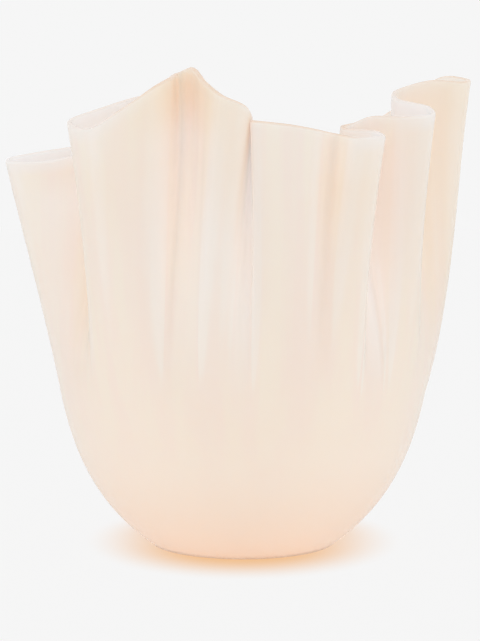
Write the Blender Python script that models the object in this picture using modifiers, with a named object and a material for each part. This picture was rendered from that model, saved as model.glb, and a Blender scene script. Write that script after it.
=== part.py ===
"""A handkerchief vase: one piece of blown opal glass, a round bowl whose upper wall hangs in deep upright folds.

Metres, +Z up. The origin is the centre of the flat foot, on the surface that the vase stands on.
Angles round the vase are in degrees from the front (-Y), growing towards +X.
"""

import math

import bmesh
import bpy
import numpy as np
from mathutils import Vector
from mathutils.geometry import interpolate_bezier

# Driving dimensions
FOOT_RADIUS = 0.0525  # flat, ground face that the vase stands on
SPRING_RADIUS = 0.1035  # outside of the bowl where the folds begin
SPRING_HEIGHT = 0.087
RIM_RADIUS = 0.132  # outermost point of the lip
RIM_HEIGHT = 0.275  # highest point of the lip
FOOT_THICKNESS = 0.007
LIP_THICKNESS = 0.0028
LIP_ROUNDING = 0.0011

# Shape of the bowl's profile
FOOT_RISE = 37.0  # angle at which the bowl leaves the foot, above level
SPRING_LEAN = 11.0  # angle at which the bowl ends, outwards from upright
FOOT_HANDLE = 0.035
SPRING_HANDLE = 0.042

# How the lip runs, fold by fold and all the way round. Each point of the lip has the angle on the bowl
# where its strip of glass starts, its own angle, and then how far it stands in from RIM_RADIUS and
# hangs below RIM_HEIGHT, in steps of FOLD_STEP. A wing hangs outwards, a groove is drawn inwards.
FOLD_STEP = 0.001
FOLDS = {
    "left wing": [(-92, -95, 0, 56), (-81, -82, 2, 56), (-68, -72, 33, 51)],
    "left groove": [(-61, -61, 66, 24), (-57, -56, 66, 18), (-52, -58, 38, 24)],
    "left front wing": [(-48, -54, 14, 29), (-41, -40, 5, 31), (-36, -32, 11, 20), (-29, -25, 20, 9)],
    "peak groove": [(-25, -23, 32, 5), (-21, -27, 56, 3), (-18, -22, 54, 0), (-14, -13, 36, 6)],
    "leaning wing": [(-11, -6, 19, 12), (-7, 1, 21, 18), (-4, 3, 30, 24)],
    "narrow groove": [(-1, 4, 40, 29), (1, 6, 38, 29), (4, 2, 24, 26)],
    "front wing": [(12, 13, 19, 28), (18, 21, 20, 31)],
    "shallow groove": [(22, 28, 26, 34)],
    "right front wing": [(27, 30, 11, 35), (34, 37, 7, 35), (37, 43, 25, 34)],
    "deep groove": [(40, 51, 58, 35), (42, 55, 63, 34), (45, 59, 62, 33), (47, 54, 46, 28)],
    "right side wing": [(50, 52, 22, 27), (55, 57, 9, 26), (60, 64, 17, 23)],
    "side groove": [(67, 74, 42, 20), (73, 83, 44, 16)],
    "right wing": [(80, 83, 27, 11), (87, 85, 9, 12), (95, 96, 3, 12), (101, 104, 15, 12), (106, 110, 32, 26)],
    "right back groove": [(113, 116, 45, 38)],
    "right back wing": [(124, 124, 16, 57), (136, 135, 6, 61), (147, 145, 18, 61)],
    "far right groove": [(155, 154, 55, 53), (160, 160, 58, 51)],
    "back wing": [(170, 171, 22, 62), (182, 182, 10, 68), (193, 194, 21, 67)],
    "far left groove": [(202, 201, 60, 42), (208, 207, 60, 40)],
    "left back wing": [(217, 219, 23, 58), (229, 230, 8, 66), (241, 240, 19, 66)],
    "left back groove": [(250, 249, 58, 51), (256, 255, 58, 48)],
}
TURN_POWER = 2.0  # a strip turns from its start to its place in the lip late, near the top

# The side where the wall swells out between the bowl and the lip, most of all at a third of the way up
SWELL = 0.003
SWELL_ANGLE = 95.0
SWELL_FOCUS = 6.0
SWELL_PEAK = 27 / 4  # brings the curve of share * (1 - share) ** 2 up to 1 at its highest

# Fineness of the mesh
LEAST_COLUMNS = 2  # from one point of the lip to the next
COLUMN_SPACING = 0.021  # of further columns, where the points are far apart
BOWL_RINGS = 6
FOLD_RINGS = 10
LIP_SEGMENTS = 2
LIP_ANGLE = 60.0  # edges sharper than this are the lip's, and are rounded
SMOOTH_ANGLE = 30.0

GLASS_COLOUR = (0.89, 0.76, 0.66, 1.0)
GLASS_ROUGHNESS = 0.18


def clear_scene():
    for item in list(bpy.data.objects):
        bpy.data.objects.remove(item)


def glass_material():
    material = bpy.data.materials.new("opal_glass")
    material.use_nodes = True
    surface = material.node_tree.nodes["Principled BSDF"]
    surface.inputs["Base Color"].default_value = GLASS_COLOUR
    surface.inputs["Roughness"].default_value = GLASS_ROUGHNESS
    surface.inputs["Metallic"].default_value = 0.0
    return material


def around(radius, angle):
    """The point of a circle at an angle in degrees from the front, growing towards +X."""
    turn = math.radians(angle)
    return radius * math.sin(turn), -radius * math.cos(turn)


def lip_points():
    """Each point of the lip as x, y and z, then x and y of its start on a circle of radius 1."""
    points = []
    for fold in FOLDS.values():
        for start, angle, inset, drop in fold:
            place = around(RIM_RADIUS - inset * FOLD_STEP, angle)
            points.append((*place, RIM_HEIGHT - drop * FOLD_STEP, *around(1.0, start)))
    return np.array(points)


def lip_curve(points):
    """A smooth closed curve through the points of the lip, with a point for each column of the mesh.

    It is a centripetal Catmull-Rom curve, which keeps the narrow folds from looping over themselves.
    """
    curve = []
    for index, point in enumerate(points):
        last, following, second = (points[(index + step) % len(points)] for step in (-1, 1, 2))
        before, gap, after = (
            math.sqrt(np.linalg.norm((end - start)[:3]))
            for start, end in ((last, point), (point, following), (following, second))
        )
        chord = following - point
        leaving = chord + gap * ((point - last) / before - (following - last) / (before + gap))
        arriving = chord + gap * ((second - following) / after - (second - point) / (gap + after))
        steps = LEAST_COLUMNS + int(gap**2 / COLUMN_SPACING)
        for step in range(steps):
            t = step / steps
            curve.append(
                (2 * t**3 - 3 * t**2 + 1) * point
                + (t**3 - 2 * t**2 + t) * leaving
                + (3 * t**2 - 2 * t**3) * following
                + (t**3 - t**2) * arriving
            )
    return curve


def bowl_profile():
    """Radius and height of the bowl's outside, from the edge of the foot to where the folds begin."""
    rise, lean = math.radians(FOOT_RISE), math.radians(SPRING_LEAN)
    foot, spring = Vector((FOOT_RADIUS, 0.0)), Vector((SPRING_RADIUS, SPRING_HEIGHT))
    foot_handle = foot + FOOT_HANDLE * Vector((math.cos(rise), math.sin(rise)))
    spring_handle = spring - SPRING_HANDLE * Vector((math.sin(lean), math.cos(lean)))
    return interpolate_bezier(foot, foot_handle, spring_handle, spring, BOWL_RINGS + 1)


def fold_strip(lip, start_angle):
    """One strip of the folded wall, from the bowl to its point of the lip, as a list of points.

    It leaves the bowl in line with it. A wing reaches the lip leaning outwards, and a groove upright.
    """
    lip_radius = math.hypot(lip[0], lip[1])
    lip_angle = math.degrees(math.atan2(lip[0], -lip[1]))
    turn = (lip_angle - start_angle + 180.0) % 360.0 - 180.0
    bottom, top = Vector((SPRING_RADIUS, SPRING_HEIGHT)), Vector((lip_radius, lip[2]))
    chord = top - bottom
    spring_lean = math.radians(SPRING_LEAN)
    lip_lean = max(math.atan2(chord.x, chord.y), 0.0)
    handle = chord.length / 3
    bottom_handle = bottom + handle * Vector((math.sin(spring_lean), math.cos(spring_lean)))
    top_handle = top - handle * Vector((math.sin(lip_lean), math.cos(lip_lean)))
    profile = interpolate_bezier(bottom, bottom_handle, top_handle, top, FOLD_RINGS + 1)
    swell = SWELL * max(math.cos(math.radians(start_angle - SWELL_ANGLE)), 0.0) ** SWELL_FOCUS
    strip = []
    for ring, (radius, height) in enumerate(profile):
        share = ring / FOLD_RINGS
        radius += swell * SWELL_PEAK * share * (1 - share) ** 2
        strip.append((*around(radius, start_angle + turn * share**TURN_POWER), height))
    return strip


def vase_columns():
    """The outside of the vase as columns of points, each from the foot up to the lip."""
    columns = []
    for x, y, z, start_x, start_y in lip_curve(lip_points()):
        start_angle = math.degrees(math.atan2(start_x, -start_y))
        bowl = [(*around(radius, start_angle), height) for radius, height in bowl_profile()]
        columns.append(bowl[:-1] + fold_strip((x, y, z), start_angle))
    return columns


def outer_skin():
    """The outside as an open mesh: a loft from the round foot, through the bowl, to the folded lip."""
    mesh = bpy.data.meshes.new("vase")
    skin = bmesh.new()
    columns = [[skin.verts.new(point) for point in column] for column in vase_columns()]
    for column, beside in zip(columns, columns[1:] + columns[:1]):
        for ring in range(len(column) - 1):
            skin.faces.new((column[ring], beside[ring], beside[ring + 1], column[ring + 1]))
    skin.faces.new([column[0] for column in reversed(columns)])
    bmesh.ops.recalc_face_normals(skin, faces=skin.faces)
    skin.to_mesh(mesh)
    skin.free()
    mesh.shade_smooth()
    mesh.set_sharp_from_angle(angle=math.radians(SMOOTH_ANGLE))
    return mesh


def thicken(vase):
    """Gives the skin its glass, inwards: thick at the foot, and thinner all the way up to the lip."""
    group = vase.vertex_groups.new(name="thickness")
    for vertex in vase.data.vertices:
        group.add([vertex.index], (1.0 - vertex.co.z / RIM_HEIGHT) ** 2, "REPLACE")
    wall = vase.modifiers.new("Wall", "SOLIDIFY")
    wall.thickness = FOOT_THICKNESS
    wall.offset = -1.0
    wall.vertex_group = group.name
    wall.thickness_vertex_group = LIP_THICKNESS / FOOT_THICKNESS


def round_lip(vase):
    lip = vase.modifiers.new("Lip", "BEVEL")
    lip.width = LIP_ROUNDING
    lip.segments = LIP_SEGMENTS
    lip.limit_method = "ANGLE"
    lip.angle_limit = math.radians(LIP_ANGLE)
    lip.use_clamp_overlap = True


def main():
    clear_scene()
    collection = bpy.data.collections.new("handkerchief_vase")
    bpy.context.scene.collection.children.link(collection)
    vase = bpy.data.objects.new("vase", outer_skin())
    vase.data.materials.append(glass_material())
    collection.objects.link(vase)
    thicken(vase)
    round_lip(vase)


main()
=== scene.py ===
import math
from functools import partial

import bpy
import numpy as np
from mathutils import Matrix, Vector


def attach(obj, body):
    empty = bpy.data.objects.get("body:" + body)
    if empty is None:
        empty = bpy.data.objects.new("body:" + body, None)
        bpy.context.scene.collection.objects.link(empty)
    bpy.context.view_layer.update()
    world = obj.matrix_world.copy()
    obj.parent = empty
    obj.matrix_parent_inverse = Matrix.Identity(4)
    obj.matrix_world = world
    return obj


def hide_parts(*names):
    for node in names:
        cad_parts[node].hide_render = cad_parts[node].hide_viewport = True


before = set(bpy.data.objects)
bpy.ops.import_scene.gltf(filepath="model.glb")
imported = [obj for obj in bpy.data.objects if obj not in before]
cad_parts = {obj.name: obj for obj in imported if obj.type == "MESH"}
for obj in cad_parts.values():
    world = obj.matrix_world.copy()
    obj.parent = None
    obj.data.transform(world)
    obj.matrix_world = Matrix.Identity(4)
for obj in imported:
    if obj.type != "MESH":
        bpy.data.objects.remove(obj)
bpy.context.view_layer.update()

white = (1.0, 1.0, 1.0, 1.0)
black = (0.0, 0.0, 0.0, 1.0)


# short ways to add nodes: a value that isn't a socket becomes the input's own value
def plug(tree, value, socket):
    if isinstance(value, bpy.types.NodeSocket):
        tree.links.new(value, socket)
    elif value is not None:
        socket.default_value = value


def addNode(tree, kind, inputs=(), **settings):
    node = tree.nodes.new(kind)
    for name, value in settings.items():
        setattr(node, name, value)
    for key, value in (inputs.items() if isinstance(inputs, dict) else enumerate(inputs)):
        plug(tree, value, node.inputs[key])
    return node


def mathOf(tree, operation, first, second=None, third=None):
    return addNode(tree, "ShaderNodeMath", (first, second, third), operation=operation).outputs[0]


def vectorOf(tree, operation, first, second=None):
    return addNode(tree, "ShaderNodeVectorMath", (first, second), operation=operation).outputs[0]


def lengthOf(tree, vector):
    return addNode(tree, "ShaderNodeVectorMath", (vector,), operation="LENGTH").outputs["Value"]


def dotProduct(tree, first, second):
    return addNode(tree, "ShaderNodeVectorMath", (first, second), operation="DOT_PRODUCT").outputs["Value"]


def scaled(tree, vector, factor):
    inputs = {"Vector": vector, "Scale": factor}
    return addNode(tree, "ShaderNodeVectorMath", inputs, operation="SCALE").outputs[0]


def combined(tree, x, y, z):
    return addNode(tree, "ShaderNodeCombineXYZ", (x, y, z)).outputs[0]


def separated(tree, vector):
    return addNode(tree, "ShaderNodeSeparateXYZ", (vector,)).outputs


def turned(tree, vector, angle):
    inputs = {"Vector": vector, "Angle": angle}
    return addNode(tree, "ShaderNodeVectorRotate", inputs, rotation_type="Z_AXIS").outputs[0]


def mapped(tree, value, reach, start, end):
    return addNode(tree, "ShaderNodeMapRange", (value, *reach, start, end)).outputs[0]


def ramped(tree, value, reach):
    inputs = (value, *reach, 0.0, 1.0)
    return addNode(tree, "ShaderNodeMapRange", inputs, interpolation_type="SMOOTHSTEP").outputs[0]


# a Mix node has its own two inputs and its own output for each kind of value
def mixed(tree, kind, factor, first, second):
    firstInput, output = {"VECTOR": (4, 1), "RGBA": (6, 2)}[kind]
    inputs = {0: factor, firstInput: first, firstInput + 1: second}
    return addNode(tree, "ShaderNodeMix", inputs, data_type=kind).outputs[output]


# how the glass was drawn up: the bowl, and the strips that join it to the lip
wallSetup = {
    "footRadius": 0.0525,
    "footRise": 37.0,  # degrees above level at which the bowl leaves the foot
    "footHandle": 0.035,
    "springRadius": 0.1035,  # where the folds leave the bowl
    "springHeight": 0.087,
    "springLean": 11.0,  # degrees outwards from upright
    "springHandle": 0.042,
    "rimRadius": 0.1318,  # the smooth lip swings a little wider than its points
    "rimHeight": 0.2749,
    "turnPower": 2.0,  # a strip turns to its place in the lip late, near the top
    "swell": 0.003,
    "swellAngle": 95.0,  # degrees from the front
    "swellFocus": 6.0,
    "floorThickness": 0.007,
    "floorCorner": 0.004,
    "lipThickness": 0.0028,
    "leastColumns": 2,  # from one point of the lip to the next
    "columnSpacing": 0.0031,  # where the points are farther apart
    "footRings": 4,
    "bowlRings": 26,
    "foldRings": 56,
    "lipRings": 8,
}

# the lip's points, fold by fold: start angle on the bowl, own angle, then steps in from the rim radius and
# steps down from the rim height
foldPoints = {
    "leftWing": [(-92, -95, 0, 56), (-81, -82, 2, 56), (-68, -72, 33, 51)],
    "leftGroove": [(-61, -61, 66, 24), (-57, -56, 66, 18), (-52, -58, 38, 24)],
    "leftFrontWing": [(-48, -54, 14, 29), (-41, -40, 5, 31), (-36, -32, 11, 20), (-29, -25, 20, 9)],
    "peakGroove": [(-25, -23, 32, 5), (-21, -27, 56, 3), (-18, -22, 54, 0), (-14, -13, 36, 6)],
    "leaningWing": [(-11, -6, 19, 12), (-7, 1, 21, 18), (-4, 3, 30, 24)],
    "narrowGroove": [(-1, 4, 40, 29), (1, 6, 38, 29), (4, 2, 24, 26)],
    "frontWing": [(12, 13, 19, 28), (18, 21, 20, 31)],
    "shallowGroove": [(22, 28, 26, 34)],
    "rightFrontWing": [(27, 30, 11, 35), (34, 37, 7, 35), (37, 43, 25, 34)],
    "deepGroove": [(40, 51, 58, 35), (42, 55, 63, 34), (45, 59, 62, 33), (47, 54, 46, 28)],
    "rightSideWing": [(50, 52, 22, 27), (55, 57, 9, 26), (60, 64, 17, 23)],
    "sideGroove": [(67, 74, 42, 20), (73, 83, 44, 16)],
    "rightWing": [(80, 83, 27, 11), (87, 85, 9, 12), (95, 96, 3, 12), (101, 104, 15, 12),
                  (106, 110, 32, 26)],
    "rightBackGroove": [(113, 116, 45, 38)],
    "rightBackWing": [(124, 124, 16, 57), (136, 135, 6, 61), (147, 145, 18, 61)],
    "farRightGroove": [(155, 154, 55, 53), (160, 160, 58, 51)],
    "backWing": [(170, 171, 22, 62), (182, 182, 10, 68), (193, 194, 21, 67)],
    "farLeftGroove": [(202, 201, 60, 42), (208, 207, 60, 40)],
    "leftBackWing": [(217, 219, 23, 58), (229, 230, 8, 66), (241, 240, 19, 66)],
    "leftBackGroove": [(250, 249, 58, 51), (256, 255, 58, 48)],
}
foldStep = 0.001


def around(radius, angle):
    turn = math.radians(angle)  # from the front, growing towards +X
    return radius * math.sin(turn), -radius * math.cos(turn)


# each point's place, and then where its strip starts, on a circle of radius 1
def lipPoints(wall):
    points = []
    for fold in foldPoints.values():
        for start, angle, inset, drop in fold:
            place = around(wall["rimRadius"] - inset * foldStep, angle)
            points.append((*place, wall["rimHeight"] - drop * foldStep, *around(1.0, start)))
    return np.array(points)


# a centripetal Catmull-Rom curve, closed, so that the narrow folds don't loop over themselves
def lipCurve(points, leastSteps, spacing):
    curve = []
    for index, point in enumerate(points):
        last, following, second = (points[(index + step) % len(points)] for step in (-1, 1, 2))
        before, gap, after = (
            math.sqrt(np.linalg.norm((end - start)[:3]))
            for start, end in ((last, point), (point, following), (following, second))
        )
        chord = following - point
        leaving = chord + gap * ((point - last) / before - (following - last) / (before + gap))
        arriving = chord + gap * ((second - following) / after - (second - point) / (gap + after))
        steps = max(leastSteps, round(gap**2 / spacing))
        for step in range(steps):
            t = step / steps
            curve.append(
                (2 * t**3 - 3 * t**2 + 1) * point
                + (t**3 - 2 * t**2 + t) * leaving
                + (3 * t**2 - 2 * t**3) * following
                + (t**3 - t**2) * arriving
            )
    return np.array(curve)


# painted shade and light round the bowl: start angle of the strip, then how much painted shade warms it
# at the lip, a little way down and halfway down (below 0 painted light makes it paler), and how much
# painted light its thin tip has
paintedShadingBands = [
    (-100, 0.0, 0.0, 0.0, 0.6),
    (-92, 0.0, 0.0, 0.0, 1.0),
    (-80, 0.0, 0.0, 0.0, 1.0),
    (-72, 0.0, -0.3, -0.1, 1.0),
    (-65, 0.1, -0.3, 0.0, 0.6),
    (-61, 0.3, 0.1, 0.6, 0.2),
    (-53, 0.2, 0.1, 0.6, 0.6),
    (-49, 0.1, 0.2, 0.2, 0.7),
    (-41, 0.0, 0.2, 0.0, 0.7),
    (-36, 0.2, 0.15, 0.0, 0.2),
    (-29, 0.5, 0.2, 0.0, 0.0),
    (-25, 0.7, 0.0, -0.2, 0.0),
    (-21, 0.6, -0.35, -0.2, 0.0),
    (-16, 0.6, -0.35, -0.2, 0.0),
    (-13, 0.6, 0.1, -0.2, 0.0),
    (-8, 0.3, 0.3, -0.1, 0.0),
    (-5, 0.4, 0.3, -0.1, 0.0),
    (-2, -1.0, -1.0, -0.5, 0.0),
    (1, -1.0, -1.0, -0.5, 0.0),
    (4, 0.0, 0.0, 0.0, 0.0),
    (15, 0.0, 0.0, 0.0, 0.0),
    (20, 0.1, 0.2, 0.0, 0.0),
    (23, 0.2, 0.4, 0.1, 0.0),
    (26, 0.1, 0.3, 0.1, 0.2),
    (30, 0.2, 0.3, 0.1, 0.8),
    (36, 0.2, 0.3, 0.1, 0.8),
    (40, 0.1, -0.2, -0.4, 0.0),
    (45, -0.4, -1.0, -0.9, 0.0),
    (49, 0.1, -0.2, -0.1, 0.3),
    (54, 0.2, 0.2, 0.2, 0.9),
    (58, 0.2, 0.2, 0.2, 0.9),
    (66, 0.3, 0.2, 0.2, 0.8),
    (75, 0.3, 0.3, 0.3, 0.3),
    (85, 0.5, 0.4, 0.35, 0.0),
    (100, 0.5, 0.4, 0.35, 0.0),
    (115, 0.3, 0.2, 0.2, 0.2),
    (180, 0.1, 0.0, 0.0, 0.4),
    (240, 0.1, 0.0, 0.0, 0.4),
]


# a loop of edges along the lip: each point carries where its strip starts on the bowl, and its painted
# shade and light
def makeLipLoop(wall):
    curve = lipCurve(lipPoints(wall), wall["leastColumns"], wall["columnSpacing"])
    count = len(curve)
    mesh = bpy.data.meshes.new("lipLoop")
    mesh.from_pydata(curve[:, :3].tolist(), [(i, (i + 1) % count) for i in range(count)], [])
    carried = {"startAngle": np.arctan2(curve[:, 3], -curve[:, 4])}
    degrees = np.degrees(carried["startAngle"])
    bandAngles, *bands = np.array(paintedShadingBands).T
    for name, band in zip(("shadingLip", "shadingTop", "shadingMiddle", "paintedTipLight"), bands):
        carried[name] = np.interp(degrees, bandAngles, band, period=360)
    for name, values in carried.items():
        mesh.attributes.new(name, "FLOAT", "POINT").data.foreach_set("value", values)
    vase = bpy.data.objects.new("opal_vase", mesh)
    bpy.context.scene.collection.objects.link(vase)
    print("lip loop:", count, "points")
    return vase


# nodes that only the vase's own tree uses
def positionOf(tree):
    return addNode(tree, "GeometryNodeInputPosition").outputs[0]


def namedValue(tree, name, kind="FLOAT"):
    return addNode(tree, "GeometryNodeInputNamedAttribute", {"Name": name}, data_type=kind).outputs[0]


def stored(tree, geometry, name, value, kind="FLOAT"):
    inputs = {"Geometry": geometry, "Name": name, "Value": value}
    node = addNode(tree, "GeometryNodeStoreNamedAttribute", inputs, data_type=kind, domain="POINT")
    return node.outputs[0]


def sampled(tree, geometry, value, index, kind="FLOAT_VECTOR"):
    inputs = {"Geometry": geometry, "Value": value, "Index": index}
    return addNode(tree, "GeometryNodeSampleIndex", inputs, data_type=kind, domain="POINT").outputs[0]


def alongLip(tree, given, name, column):
    return sampled(tree, given["Lip"], namedValue(tree, name), column, "FLOAT")


def moved(tree, geometry, place):
    return addNode(tree, "GeometryNodeSetPosition", {"Geometry": geometry, "Position": place}).outputs[0]


def switched(tree, test, whenFalse, whenTrue):
    return addNode(tree, "GeometryNodeSwitch", (test, whenFalse, whenTrue), input_type="VECTOR").outputs[0]


def compared(tree, operation, first, second):
    inputs = (first, second)
    return addNode(tree, "FunctionNodeCompare", inputs, data_type="FLOAT", operation=operation).outputs[0]


# a grid, with the column and the row of each point: its points are numbered up one column after another
def makeGrid(tree, columns, rows):
    grid = addNode(tree, "GeometryNodeMeshGrid", {"Vertices X": columns, "Vertices Y": rows}).outputs[0]
    index = addNode(tree, "GeometryNodeInputIndex").outputs[0]
    middle = mathOf(tree, "ADD", index, 0.5)  # so that rounding can't change the column
    column = mathOf(tree, "FLOOR", mathOf(tree, "DIVIDE", middle, rows))
    row = mathOf(tree, "SUBTRACT", index, mathOf(tree, "MULTIPLY", column, rows))
    return grid, column, row


# the point of a Bezier curve at a share of its way, as a group that the bowl and the folds both use
def makeBezierGroup():
    tree = bpy.data.node_groups.new("Bezier Point", "GeometryNodeTree")
    corners = ("Start", "Start Handle", "End Handle", "End")
    for name in corners:
        tree.interface.new_socket(name, in_out="INPUT", socket_type="NodeSocketVector")
    tree.interface.new_socket("Share", in_out="INPUT", socket_type="NodeSocketFloat")
    tree.interface.new_socket("Point", in_out="OUTPUT", socket_type="NodeSocketVector")
    given = tree.nodes.new("NodeGroupInput").outputs
    level = [given[name] for name in corners]
    while len(level) > 1:
        level = [mixed(tree, "VECTOR", given["Share"], a, b) for a, b in zip(level, level[1:])]
    tree.links.new(level[0], tree.nodes.new("NodeGroupOutput").inputs[0])
    return tree


def bezierPoint(tree, group, corners, share):
    node = addNode(tree, "GeometryNodeGroup", node_tree=group)
    for socket, value in zip(node.inputs, (*corners, share)):
        plug(tree, value, socket)
    return node.outputs[0]


wallInputs = {
    "Foot Radius": "footRadius",
    "Foot Rise": "footRise",
    "Foot Handle": "footHandle",
    "Spring Radius": "springRadius",
    "Spring Height": "springHeight",
    "Spring Lean": "springLean",
    "Spring Handle": "springHandle",
    "Turn Power": "turnPower",
    "Swell": "swell",
    "Swell Angle": "swellAngle",
    "Swell Focus": "swellFocus",
    "Floor Thickness": "floorThickness",
    "Floor Corner": "floorCorner",
    "Lip Thickness": "lipThickness",
    "Rim Radius": "rimRadius",
    "Rim Height": "rimHeight",
    "Foot Rings": "footRings",
    "Bowl Rings": "bowlRings",
    "Fold Rings": "foldRings",
    "Lip Rings": "lipRings",
}
inDegrees = ("Foot Rise", "Spring Lean", "Swell Angle")

handleParts = 3.0  # a fold's handles are each a third of its chord
swellPeak = 27 / 4  # brings share * (1 - share) ** 2 up to 1 at its highest
lipEase = 8.0  # power of the share of the wall, so that only its top makes room for the lip's round
slopeStep = 0.01  # share of the bowl, up and down, between which its slope is taken
mergeDistance = 1e-6

# each band of painted shade and light from the lip takes over between these shares of the wall
bandReaches = {"shadingMiddle": (0.0, 0.5), "shadingTop": (0.5, 0.85), "shadingLip": (0.80, 0.97)}

# stretches of rows on the glass, from the middle of the foot round to the middle of the hollow's floor
glassStretches = {
    "foot": "Foot Rings",
    "bowl": "Bowl Rings",
    "folds": "Fold Rings",
    "lip": "Lip Rings",
    "innerFolds": "Fold Rings",
    "innerBowl": "Bowl Rings",
    "floor": "Foot Rings",
}


# radius and height live in X and Z of a vector until the strip is turned to its place
def leaning(tree, angle, length):
    outwards = mathOf(tree, "MULTIPLY", mathOf(tree, "SINE", angle), length)
    upwards = mathOf(tree, "MULTIPLY", mathOf(tree, "COSINE", angle), length)
    return combined(tree, outwards, 0.0, upwards)


def turnedToPlace(tree, radius, height, angle):
    return turned(tree, combined(tree, 0.0, mathOf(tree, "MULTIPLY", radius, -1.0), height), angle)


def springPoint(tree, given):
    return combined(tree, given["Spring Radius"], 0.0, given["Spring Height"])


# the glass is thick at the foot and thinner all the way up to the lip
def glassThickness(tree, given, height):
    calc = partial(mathOf, tree)
    low = calc("SUBTRACT", 1.0, calc("DIVIDE", height, given["Rim Height"]))
    extra = calc("SUBTRACT", given["Floor Thickness"], given["Lip Thickness"])
    return calc("ADD", given["Lip Thickness"], calc("MULTIPLY", extra, calc("MULTIPLY", low, low)))


# the outside of the folded wall by itself: a column for each point of the lip, a row for each ring
def makeSheet(tree, given, bezier, columns):
    calc = partial(mathOf, tree)
    rows = calc("ADD", given["Fold Rings"], 1)
    sheet, column, row = makeGrid(tree, columns, rows)
    share = calc("DIVIDE", row, given["Fold Rings"])
    start = alongLip(tree, given, "startAngle", column)
    lipX, lipY, lipZ = separated(tree, sampled(tree, given["Lip"], positionOf(tree), column))
    lipAngle = calc("ARCTAN2", lipX, calc("MULTIPLY", lipY, -1.0))
    lipRadius = calc("SQRT", calc("ADD", calc("MULTIPLY", lipX, lipX), calc("MULTIPLY", lipY, lipY)))

    spring = springPoint(tree, given)
    top = combined(tree, lipRadius, 0.0, lipZ)
    chord = vectorOf(tree, "SUBTRACT", top, spring)
    chordX, _, chordZ = separated(tree, chord)
    handle = calc("DIVIDE", lengthOf(tree, chord), handleParts)
    springWay = leaning(tree, given["Spring Lean"], handle)
    # a wing reaches the lip leaning outwards, and a groove upright
    topWay = leaning(tree, calc("MAXIMUM", calc("ARCTAN2", chordX, chordZ), 0.0), handle)
    springHandle = vectorOf(tree, "ADD", spring, springWay)
    topHandle = vectorOf(tree, "SUBTRACT", top, topWay)
    profile = bezierPoint(tree, bezier, (spring, springHandle, topHandle, top), share)
    radius, _, height = separated(tree, profile)

    # on one side the wall swells out between the bowl and the lip
    facing = calc("MAXIMUM", calc("COSINE", calc("SUBTRACT", start, given["Swell Angle"])), 0.0)
    swell = calc("MULTIPLY", given["Swell"], swellPeak)
    swell = calc("MULTIPLY", calc("POWER", facing, given["Swell Focus"]), swell)
    left = calc("SUBTRACT", 1.0, share)
    swell = calc("MULTIPLY", swell, calc("MULTIPLY", share, calc("MULTIPLY", left, left)))
    turn = calc("WRAP", calc("SUBTRACT", lipAngle, start), math.pi, -math.pi)
    angle = calc("ADD", start, calc("MULTIPLY", turn, calc("POWER", share, given["Turn Power"])))
    return moved(tree, sheet, turnedToPlace(tree, calc("ADD", radius, swell), height, angle)), column, row


# stores on the sheet which way is outwards and upwards, and how tightly it bends round the vase, per metre:
# above 0 on a crest, below 0 in a groove
def measureSheet(tree, given, sheet, columns, column, row):
    calc = partial(mathOf, tree)
    lastRow = given["Fold Rings"]

    def beside(value, stepRound, stepUp):
        besideColumn = calc("FLOORED_MODULO", calc("ADD", column, stepRound), columns)
        besideRow = calc("MINIMUM", calc("MAXIMUM", calc("ADD", row, stepUp), 0.0), lastRow)
        index = calc("ADD", calc("MULTIPLY", besideColumn, calc("ADD", lastRow, 1)), besideRow)
        return sampled(tree, sheet, value, index)

    place = positionOf(tree)
    roundWay = vectorOf(tree, "SUBTRACT", beside(place, 1, 0), beside(place, -1, 0))
    upWay = vectorOf(tree, "SUBTRACT", beside(place, 0, 1), beside(place, 0, -1))
    upWay = vectorOf(tree, "NORMALIZE", upWay)
    outWay = vectorOf(tree, "NORMALIZE", vectorOf(tree, "CROSS_PRODUCT", roundWay, upWay))
    sheet = stored(tree, sheet, "outWay", outWay, "FLOAT_VECTOR")
    sheet = stored(tree, sheet, "upWay", upWay, "FLOAT_VECTOR")
    outwards = namedValue(tree, "outWay", "FLOAT_VECTOR")
    spread = vectorOf(tree, "SUBTRACT", beside(outwards, 1, 0), beside(outwards, -1, 0))
    bend = calc("DIVIDE", dotProduct(tree, spread, roundWay), dotProduct(tree, roundWay, roundWay))
    return stored(tree, sheet, "bend", bend)


# the folded wall outside and inside, with the lip rounded over between them
def foldedPlace(tree, given, sheet, sheetIndex, wallShare, row, ends):
    calc = partial(mathOf, tree)
    wall = sampled(tree, sheet, positionOf(tree), sheetIndex)
    outWay = sampled(tree, sheet, namedValue(tree, "outWay", "FLOAT_VECTOR"), sheetIndex)
    upWay = sampled(tree, sheet, namedValue(tree, "upWay", "FLOAT_VECTOR"), sheetIndex)
    _, _, height = separated(tree, wall)
    halfGlass = calc("MULTIPLY", glassThickness(tree, given, height), 0.5)
    overLip = mapped(tree, row, (ends["folds"], ends["lip"]), 0.0, math.pi)
    inwards = calc("MULTIPLY", halfGlass, calc("SUBTRACT", calc("COSINE", overLip), 1.0))
    # the lip's round adds half the glass to its height, so the wall's top is lowered by as much
    upwards = calc("MULTIPLY", halfGlass, calc("SINE", overLip))
    upwards = calc("SUBTRACT", upwards, calc("MULTIPLY", calc("POWER", wallShare, lipEase), halfGlass))
    place = vectorOf(tree, "ADD", wall, scaled(tree, outWay, inwards))
    return vectorOf(tree, "ADD", place, scaled(tree, upWay, upwards))


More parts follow.
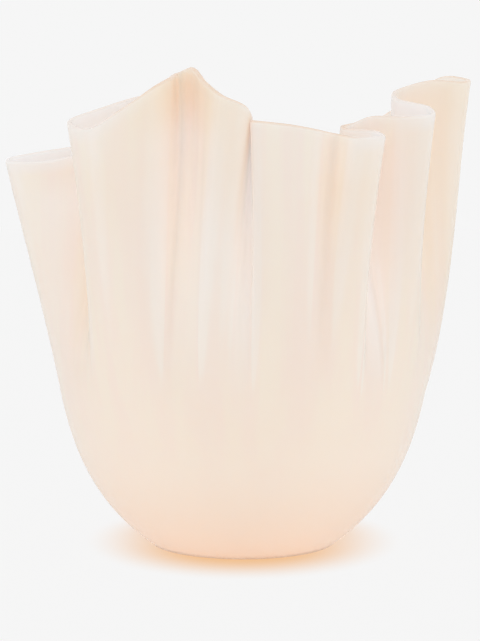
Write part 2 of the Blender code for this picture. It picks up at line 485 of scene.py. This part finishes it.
# the round foot and bowl outside, and the hollow inside
def roundPlace(tree, given, bezier, start, row, ends):
    calc = partial(mathOf, tree)
    foot = combined(tree, given["Foot Radius"], 0.0, 0.0)
    footOut = calc("MULTIPLY", calc("COSINE", given["Foot Rise"]), given["Foot Handle"])
    footUp = calc("MULTIPLY", calc("SINE", given["Foot Rise"]), given["Foot Handle"])
    footHandle = vectorOf(tree, "ADD", foot, combined(tree, footOut, 0.0, footUp))
    spring = springPoint(tree, given)
    springWay = leaning(tree, given["Spring Lean"], given["Spring Handle"])
    springHandle = vectorOf(tree, "SUBTRACT", spring, springWay)

    def bowlAt(share):
        return bezierPoint(tree, bezier, (foot, footHandle, springHandle, spring), share)

    bowlShare = mapped(tree, row, (ends["foot"], ends["bowl"]), 0.0, 1.0)
    footShare = mapped(tree, row, (0.0, ends["foot"]), 0.0, 1.0)
    outside = vectorOf(tree, "MULTIPLY", bowlAt(bowlShare), combined(tree, footShare, 1.0, 1.0))

    # the hollow keeps the glass's thickness to the bowl, down to a flat floor with a soft corner
    innerShare = mapped(tree, row, (ends["innerFolds"], ends["innerBowl"]), 1.0, 0.0)
    floorShare = mapped(tree, row, (ends["innerBowl"], ends["floor"]), 1.0, 0.0)
    skin = bowlAt(innerShare)
    above = bowlAt(calc("ADD", innerShare, slopeStep))
    below = bowlAt(calc("SUBTRACT", innerShare, slopeStep))
    slope = vectorOf(tree, "NORMALIZE", vectorOf(tree, "SUBTRACT", above, below))
    slopeX, _, slopeZ = separated(tree, slope)
    inwardsWay = combined(tree, calc("MULTIPLY", slopeZ, -1.0), 0.0, slopeX)
    _, _, skinHeight = separated(tree, skin)
    hollow = vectorOf(tree, "ADD", skin, scaled(tree, inwardsWay, glassThickness(tree, given, skinHeight)))
    hollowX, _, hollowZ = separated(tree, hollow)
    floored = calc("SMOOTH_MAX", hollowZ, given["Floor Thickness"], given["Floor Corner"])
    hollow = combined(tree, calc("MULTIPLY", hollowX, floorShare), 0.0, floored)

    lipMiddle = calc("MULTIPLY", calc("ADD", ends["folds"], ends["lip"]), 0.5)
    isInside = compared(tree, "GREATER_THAN", row, lipMiddle)
    radius, _, height = separated(tree, switched(tree, isInside, outside, hollow))
    return turnedToPlace(tree, radius, height, start)


# the whole glass in one strip of rows: foot, bowl, folds, over the lip, and down the inside to the axis
def makeSkin(tree, given, bezier, sheet, columns):
    calc = partial(mathOf, tree)
    ends = {}
    end = 0
    for stretch, rings in glassStretches.items():
        end = calc("ADD", end, given[rings])
        ends[stretch] = end
    skin, column, row = makeGrid(tree, calc("ADD", columns, 1), calc("ADD", end, 1))
    column = calc("FLOORED_MODULO", column, columns)  # the last column lies on the first
    lastRow = given["Fold Rings"]
    outerRow = calc("SUBTRACT", row, ends["bowl"])
    innerRow = calc("SUBTRACT", ends["innerFolds"], row)
    sheetRow = calc("MAXIMUM", calc("MINIMUM", outerRow, innerRow), 0.0)
    sheetRow = calc("MINIMUM", sheetRow, lastRow)
    sheetIndex = calc("ADD", calc("MULTIPLY", column, calc("ADD", lastRow, 1)), sheetRow)
    wallShare = calc("DIVIDE", sheetRow, lastRow)

    folded = foldedPlace(tree, given, sheet, sheetIndex, wallShare, row, ends)
    rounded = roundPlace(tree, given, bezier, alongLip(tree, given, "startAngle", column), row, ends)
    aboveBowl = compared(tree, "GREATER_EQUAL", row, ends["bowl"])
    aboveHollow = compared(tree, "LESS_EQUAL", row, ends["innerFolds"])
    skin = moved(tree, skin, switched(tree, calc("MULTIPLY", aboveBowl, aboveHollow), rounded, folded))

    # what the glass's colour follows, painted shade and light among it
    paintedShading = 0.0
    for name, reach in bandReaches.items():
        change = calc("SUBTRACT", alongLip(tree, given, name, column), paintedShading)
        paintedShading = calc("ADD", paintedShading, calc("MULTIPLY", change, ramped(tree, wallShare, reach)))
    followed = {
        "paintedShading": paintedShading,
        "paintedTipLight": alongLip(tree, given, "paintedTipLight", column),
        "belowLip": calc("SUBTRACT", 1.0, wallShare),
        "inside": mapped(tree, row, (ends["folds"], ends["lip"]), 0.0, 1.0),
        "bend": sampled(tree, sheet, namedValue(tree, "bend"), sheetIndex, "FLOAT"),
    }
    for name, value in followed.items():
        skin = stored(tree, skin, name, value)
    return skin


def makeWallTree():
    tree = bpy.data.node_groups.new("Folded Vase", "GeometryNodeTree")
    tree.interface.new_socket("Lip", in_out="INPUT", socket_type="NodeSocketGeometry")
    for name in wallInputs:
        kind = "NodeSocketInt" if name.endswith("Rings") else "NodeSocketFloat"
        tree.interface.new_socket(name, in_out="INPUT", socket_type=kind)
    tree.interface.new_socket("Glass", in_out="INPUT", socket_type="NodeSocketMaterial")
    tree.interface.new_socket("Vase", in_out="OUTPUT", socket_type="NodeSocketGeometry")
    given = tree.nodes.new("NodeGroupInput").outputs
    bezier = makeBezierGroup()
    lipSize = addNode(tree, "GeometryNodeAttributeDomainSize", (given["Lip"],), component="MESH")
    columns = lipSize.outputs["Point Count"]
    sheet, column, row = makeSheet(tree, given, bezier, columns)
    sheet = measureSheet(tree, given, sheet, columns, column, row)
    glass = makeSkin(tree, given, bezier, sheet, columns)
    for kind, inputs in (
        ("GeometryNodeMergeByDistance", {"Distance": mergeDistance}),
        ("GeometryNodeSetShadeSmooth", {}),
        ("GeometryNodeRealizeInstances", {}),
        ("GeometryNodeSetMaterial", {"Material": given["Glass"]}),
    ):
        glass = addNode(tree, kind, {0: glass, **inputs}).outputs[0]
    tree.links.new(glass, tree.nodes.new("NodeGroupOutput").inputs[0])
    print("tree of the folded vase:", len(tree.nodes), "nodes")
    return tree


# the tree makes the vase once, and its result becomes a plain mesh
def makeVase(wall, material):
    vase = makeLipLoop(wall)
    tree = makeWallTree()
    modifier = vase.modifiers.new("foldedVase", "NODES")
    modifier.node_group = tree
    sockets = {item.name: item.identifier for item in tree.interface.items_tree if item.in_out == "INPUT"}
    for name, key in wallInputs.items():
        modifier[sockets[name]] = math.radians(wall[key]) if name in inDegrees else wall[key]
    modifier[sockets["Glass"]] = material
    graph = bpy.context.evaluated_depsgraph_get()
    finished = vase.evaluated_get(graph)
    mesh = bpy.data.meshes.new_from_object(finished, preserve_all_data_layers=True, depsgraph=graph)
    vase.modifiers.remove(modifier)
    vase.data = mesh
    mesh.calc_loop_triangles()
    print("vase:", len(mesh.vertices), "points,", len(mesh.loop_triangles), "triangles")
    return vase


# opal glass: milky all through, so light comes out again where a fold is narrow
glassSetup = {
    "outside": (0.966, 0.799, 0.707, 1.0),
    # painted shade warms the folds and edge-on walls, and painted light makes the narrow grooves pale
    "paintedShadeWarm": (0.965, 0.695, 0.530, 1.0),
    "paintedLightPale": (0.995, 0.960, 0.930, 1.0),
    "paintedTipLight": (0.950, 0.820, 0.755, 1.0),  # painted light: the thin wing tips paler and cooler, as the white tent's light comes through them
    "paintedTipLightReach": (0.060, 0.010),  # share of the wall below the lip
    # painted highlight along the crests
    "paintedCrestHighlight": (0.966, 0.822, 0.742, 1.0),
    "crestHighlightBend": (25.0, 70.0),  # per metre
    # the foot's deeper colour: partly the thicker glass, partly a painted warm glow of light coming through
    # it
    "foot": (0.915, 0.742, 0.626, 1.0),
    "footHeight": (0.064, 0.000),
    "inside": (0.972, 0.830, 0.740, 1.0),
    # painted light on the inside of the thin tips, where the tent's light comes through
    "insideTipLight": (0.965, 0.950, 0.945, 1.0),
    "insideTipLightReach": (0.160, 0.080),
    "lip": (0.820, 0.580, 0.450, 1.0),
    # painted light on the lip of the thin tips
    "lipTipLight": (0.900, 0.800, 0.750, 1.0),
    "lipPeak": 4.0,  # brings inside * (1 - inside) up to 1 on the middle of the lip
    "streakPink": (0.970, 0.777, 0.703, 1.0),
    "streakCream": (0.964, 0.820, 0.713, 1.0),
    "streakScale": (70.0, 70.0, 4.0),  # drawn out upwards
    "streakDetail": 3.0,
    "streakRamp": (0.35, 0.65),  # of the noise, from pink to cream
    "streakAmount": 0.8,
    "streakHeight": (0.020, 0.130),  # the melt is even below, and streaked above
    "roughness": 0.25,
    "sheen": 0.2,  # specular level: the white tent leaves hardly any highlight
    "milky": 1.0,
    "milkReach": (0.009, 0.009, 0.009),
    "milkScale": 1.0,
}


def makeGlass(glass):
    material = bpy.data.materials.new("opal_glass")
    material.use_nodes = True
    tree = material.node_tree
    surface = tree.nodes["Principled BSDF"]
    calc = partial(mathOf, tree)
    blend = partial(mixed, tree, "RGBA")
    paintedShading, paintedTipLight, belowLip, inside, bend = (
        addNode(tree, "ShaderNodeAttribute", attribute_name=name).outputs["Fac"]
        for name in ("paintedShading", "paintedTipLight", "belowLip", "inside", "bend")
    )
    place = addNode(tree, "ShaderNodeTexCoord").outputs["Object"]
    _, _, height = separated(tree, place)

    # threads of the melt, drawn up the wall
    drawnUp = vectorOf(tree, "MULTIPLY", place, glass["streakScale"])
    noiseInputs = {"Vector": drawnUp, "Scale": 1.0, "Detail": glass["streakDetail"]}
    noise = addNode(tree, "ShaderNodeTexNoise", noiseInputs).outputs[0]
    streaks = blend(ramped(tree, noise, glass["streakRamp"]), glass["streakPink"], glass["streakCream"])
    streaked = calc("MULTIPLY", ramped(tree, height, glass["streakHeight"]), glass["streakAmount"])
    colour = blend(streaked, glass["outside"], streaks)

    # painted highlights on the crests, bands of painted shade (warm) and painted light (pale), painted
    # light on the thin wing tips, and the foot's deeper colour with a painted warm glow
    colour = blend(ramped(tree, bend, glass["crestHighlightBend"]), colour, glass["paintedCrestHighlight"])
    colour = blend(paintedShading, colour, glass["paintedShadeWarm"])
    colour = blend(calc("MULTIPLY", paintedShading, -1.0), colour, glass["paintedLightPale"])
    paintedTipLightMask = calc("MULTIPLY", paintedTipLight, ramped(tree, belowLip, glass["paintedTipLightReach"]))
    colour = blend(paintedTipLightMask, colour, glass["paintedTipLight"])
    colour = blend(ramped(tree, height, glass["footHeight"]), colour, glass["foot"])

    # the inside, and the lip between it and the outside, both with painted light on the thin wing tips
    insideTipLightMask = calc("MULTIPLY", paintedTipLight, ramped(tree, belowLip, glass["insideTipLightReach"]))
    colour = blend(inside, colour, blend(insideTipLightMask, glass["inside"], glass["insideTipLight"]))
    onLip = calc("MULTIPLY", inside, calc("SUBTRACT", 1.0, inside))
    lipColour = blend(paintedTipLight, glass["lip"], glass["lipTipLight"])
    colour = blend(calc("MULTIPLY", onLip, glass["lipPeak"]), colour, lipColour)

    tree.links.new(colour, surface.inputs["Base Color"])
    surface.inputs["Roughness"].default_value = glass["roughness"]
    surface.inputs["Specular IOR Level"].default_value = glass["sheen"]
    surface.inputs["Subsurface Weight"].default_value = glass["milky"]
    surface.inputs["Subsurface Radius"].default_value = glass["milkReach"]
    surface.inputs["Subsurface Scale"].default_value = glass["milkScale"]
    print("opal glass mixed")
    return material


# the camera that puts the foot, the bowl and the lip where the photograph has them
cameraSetup = {
    "lens": 180.0,  # mm
    "distance": 1.8,  # in front of the vase's axis
    "height": 0.383,
    "lookDown": 8.1,  # degrees
    "aside": -3.0,  # px that the axis lies right of the frame's middle
    "frameHeight": 641,  # px
}


def makeCamera(setup):
    data = bpy.data.cameras.new("photoCamera")
    data.lens = setup["lens"]
    data.shift_x = setup["aside"] / setup["frameHeight"]
    camera = bpy.data.objects.new("photoCamera", data)
    camera.location = (0.0, -setup["distance"], setup["height"])
    camera.rotation_euler = (math.radians(90 - setup["lookDown"]), 0.0, 0.0)
    bpy.context.scene.collection.objects.link(camera)
    bpy.context.scene.camera = camera


# a soft white tent round the vase: an even sky, and weak lamps on every side that cast no shadow, so that
# light gets into the folds too
lightSetup = {
    "sky": 0.725,
    "backdrop": (0.921, 0.921, 0.921, 1.0),
    "fills": {  # the side that each shines from, and its strength
        "frontFill": ((0.0, -1.0, 0.15), 0.30),
        "leftFill": ((-1.0, -0.25, 0.25), 0.28),
        "rightFill": ((1.0, -0.25, 0.25), 0.28),
        "backFill": ((0.0, 1.0, 0.25), 0.28),
        "topFill": ((0.0, 0.0, 1.0), 0.22),
        "tableFill": ((0.0, 0.0, -1.0), 0.17),
    },
}


def makeLights(setup):
    for name, (place, strength) in setup["fills"].items():
        data = bpy.data.lights.new(name, "SUN")
        data.energy = strength
        data.use_shadow = False
        light = bpy.data.objects.new(name, data)
        light.visible_glossy = False
        light.location = place
        light.rotation_euler = Vector(place).to_track_quat("Z", "Y").to_euler()
        bpy.context.scene.collection.objects.link(light)


# the sky lights the vase, and what the camera sees of it is the backdrop
def makeSky(setup):
    world = bpy.data.worlds.new("whiteTent")
    world.use_nodes = True
    tree = world.node_tree
    sky = tree.nodes["Background"]
    sky.inputs["Color"].default_value = white
    sky.inputs["Strength"].default_value = setup["sky"]
    backdrop = addNode(tree, "ShaderNodeBackground", (setup["backdrop"], 1.0)).outputs[0]
    path = tree.nodes.new("ShaderNodeLightPath").outputs
    seen = mathOf(tree, "MAXIMUM", path["Is Camera Ray"], path["Is Transmission Ray"])
    seen = mathOf(tree, "MAXIMUM", seen, path["Is Glossy Ray"])
    both = addNode(tree, "ShaderNodeMixShader", (seen, sky.outputs[0], backdrop)).outputs[0]
    tree.links.new(both, tree.nodes["World Output"].inputs["Surface"])
    bpy.context.scene.world = world


# the table, with the warm light that comes through the foot
tableSetup = {
    "radius": 1.6,
    "corners": 64,
    "bounce": (0.93, 0.93, 0.93, 1.0),
    "seen": (0.921, 0.921, 0.921, 1.0),
    "shadowShare": 0.04,  # how much of the seen table is lit, and so takes the vase's shadow
    "lift": 0.963,  # its own light: with the lit share, the bare table is as bright as the backdrop
    "glow": (0.880, 0.540, 0.290, 1.0),
    "glowReach": (0.107, 0.050),
    "glowStretch": (1.16, 1.0, 1.0),  # it reaches less far to the sides
    "glowFade": 0.30,  # and is weaker there
    "glowFadePower": 4.0,
    "glowBounce": 0.14,  # strength of the glow as light on the foot
    "roughness": 0.9,
    "sheen": 0.0,
}


def makeTable(setup):
    mesh = bpy.data.meshes.new("paleTable")
    corners = [around(setup["radius"], 360 * step / setup["corners"]) for step in range(setup["corners"])]
    mesh.from_pydata([(x, y, 0.0) for x, y in corners], [], [tuple(range(setup["corners"]))])
    material = bpy.data.materials.new("pale_table")
    material.use_nodes = True
    tree = material.node_tree
    surface = tree.nodes["Principled BSDF"]
    calc = partial(mathOf, tree)
    blend = partial(mixed, tree, "RGBA")

    place = addNode(tree, "ShaderNodeTexCoord").outputs["Object"]
    distance = lengthOf(tree, vectorOf(tree, "MULTIPLY", place, setup["glowStretch"]))
    aside, _, _ = separated(tree, vectorOf(tree, "NORMALIZE", place))
    faded = calc("MULTIPLY_ADD", calc("POWER", aside, setup["glowFadePower"]), -setup["glowFade"], 1.0)
    glow = calc("MULTIPLY", ramped(tree, distance, setup["glowReach"]), faded)

    # the camera sees mostly the table's own light, and the vase gets what a pale table throws back
    camera = tree.nodes.new("ShaderNodeLightPath").outputs["Is Camera Ray"]
    seen = blend(glow, setup["seen"], setup["glow"])
    litShare = calc("MULTIPLY_ADD", camera, setup["shadowShare"] - 1.0, 1.0)
    lit = blend(litShare, black, blend(camera, setup["bounce"], seen))
    unseen = calc("SUBTRACT", 1.0, camera)
    bounced = calc("MULTIPLY", glow, calc("MULTIPLY", unseen, setup["glowBounce"]))
    strength = calc("MULTIPLY_ADD", camera, setup["lift"], bounced)
    tree.links.new(lit, surface.inputs["Base Color"])
    tree.links.new(seen, surface.inputs["Emission Color"])
    tree.links.new(strength, surface.inputs["Emission Strength"])
    surface.inputs["Roughness"].default_value = setup["roughness"]
    surface.inputs["Specular IOR Level"].default_value = setup["sheen"]

    mesh.materials.append(material)
    table = bpy.data.objects.new("pale_table", mesh)
    bpy.context.scene.collection.objects.link(table)


bpy.context.scene.view_settings.view_transform = "Standard"
makeCamera(cameraSetup)
makeLights(lightSetup)
makeSky(lightSetup)
makeTable(tableSetup)
print("camera, lights and table placed")

vase = makeVase(wallSetup, makeGlass(glassSetup))
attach(vase, "root")
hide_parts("vase")
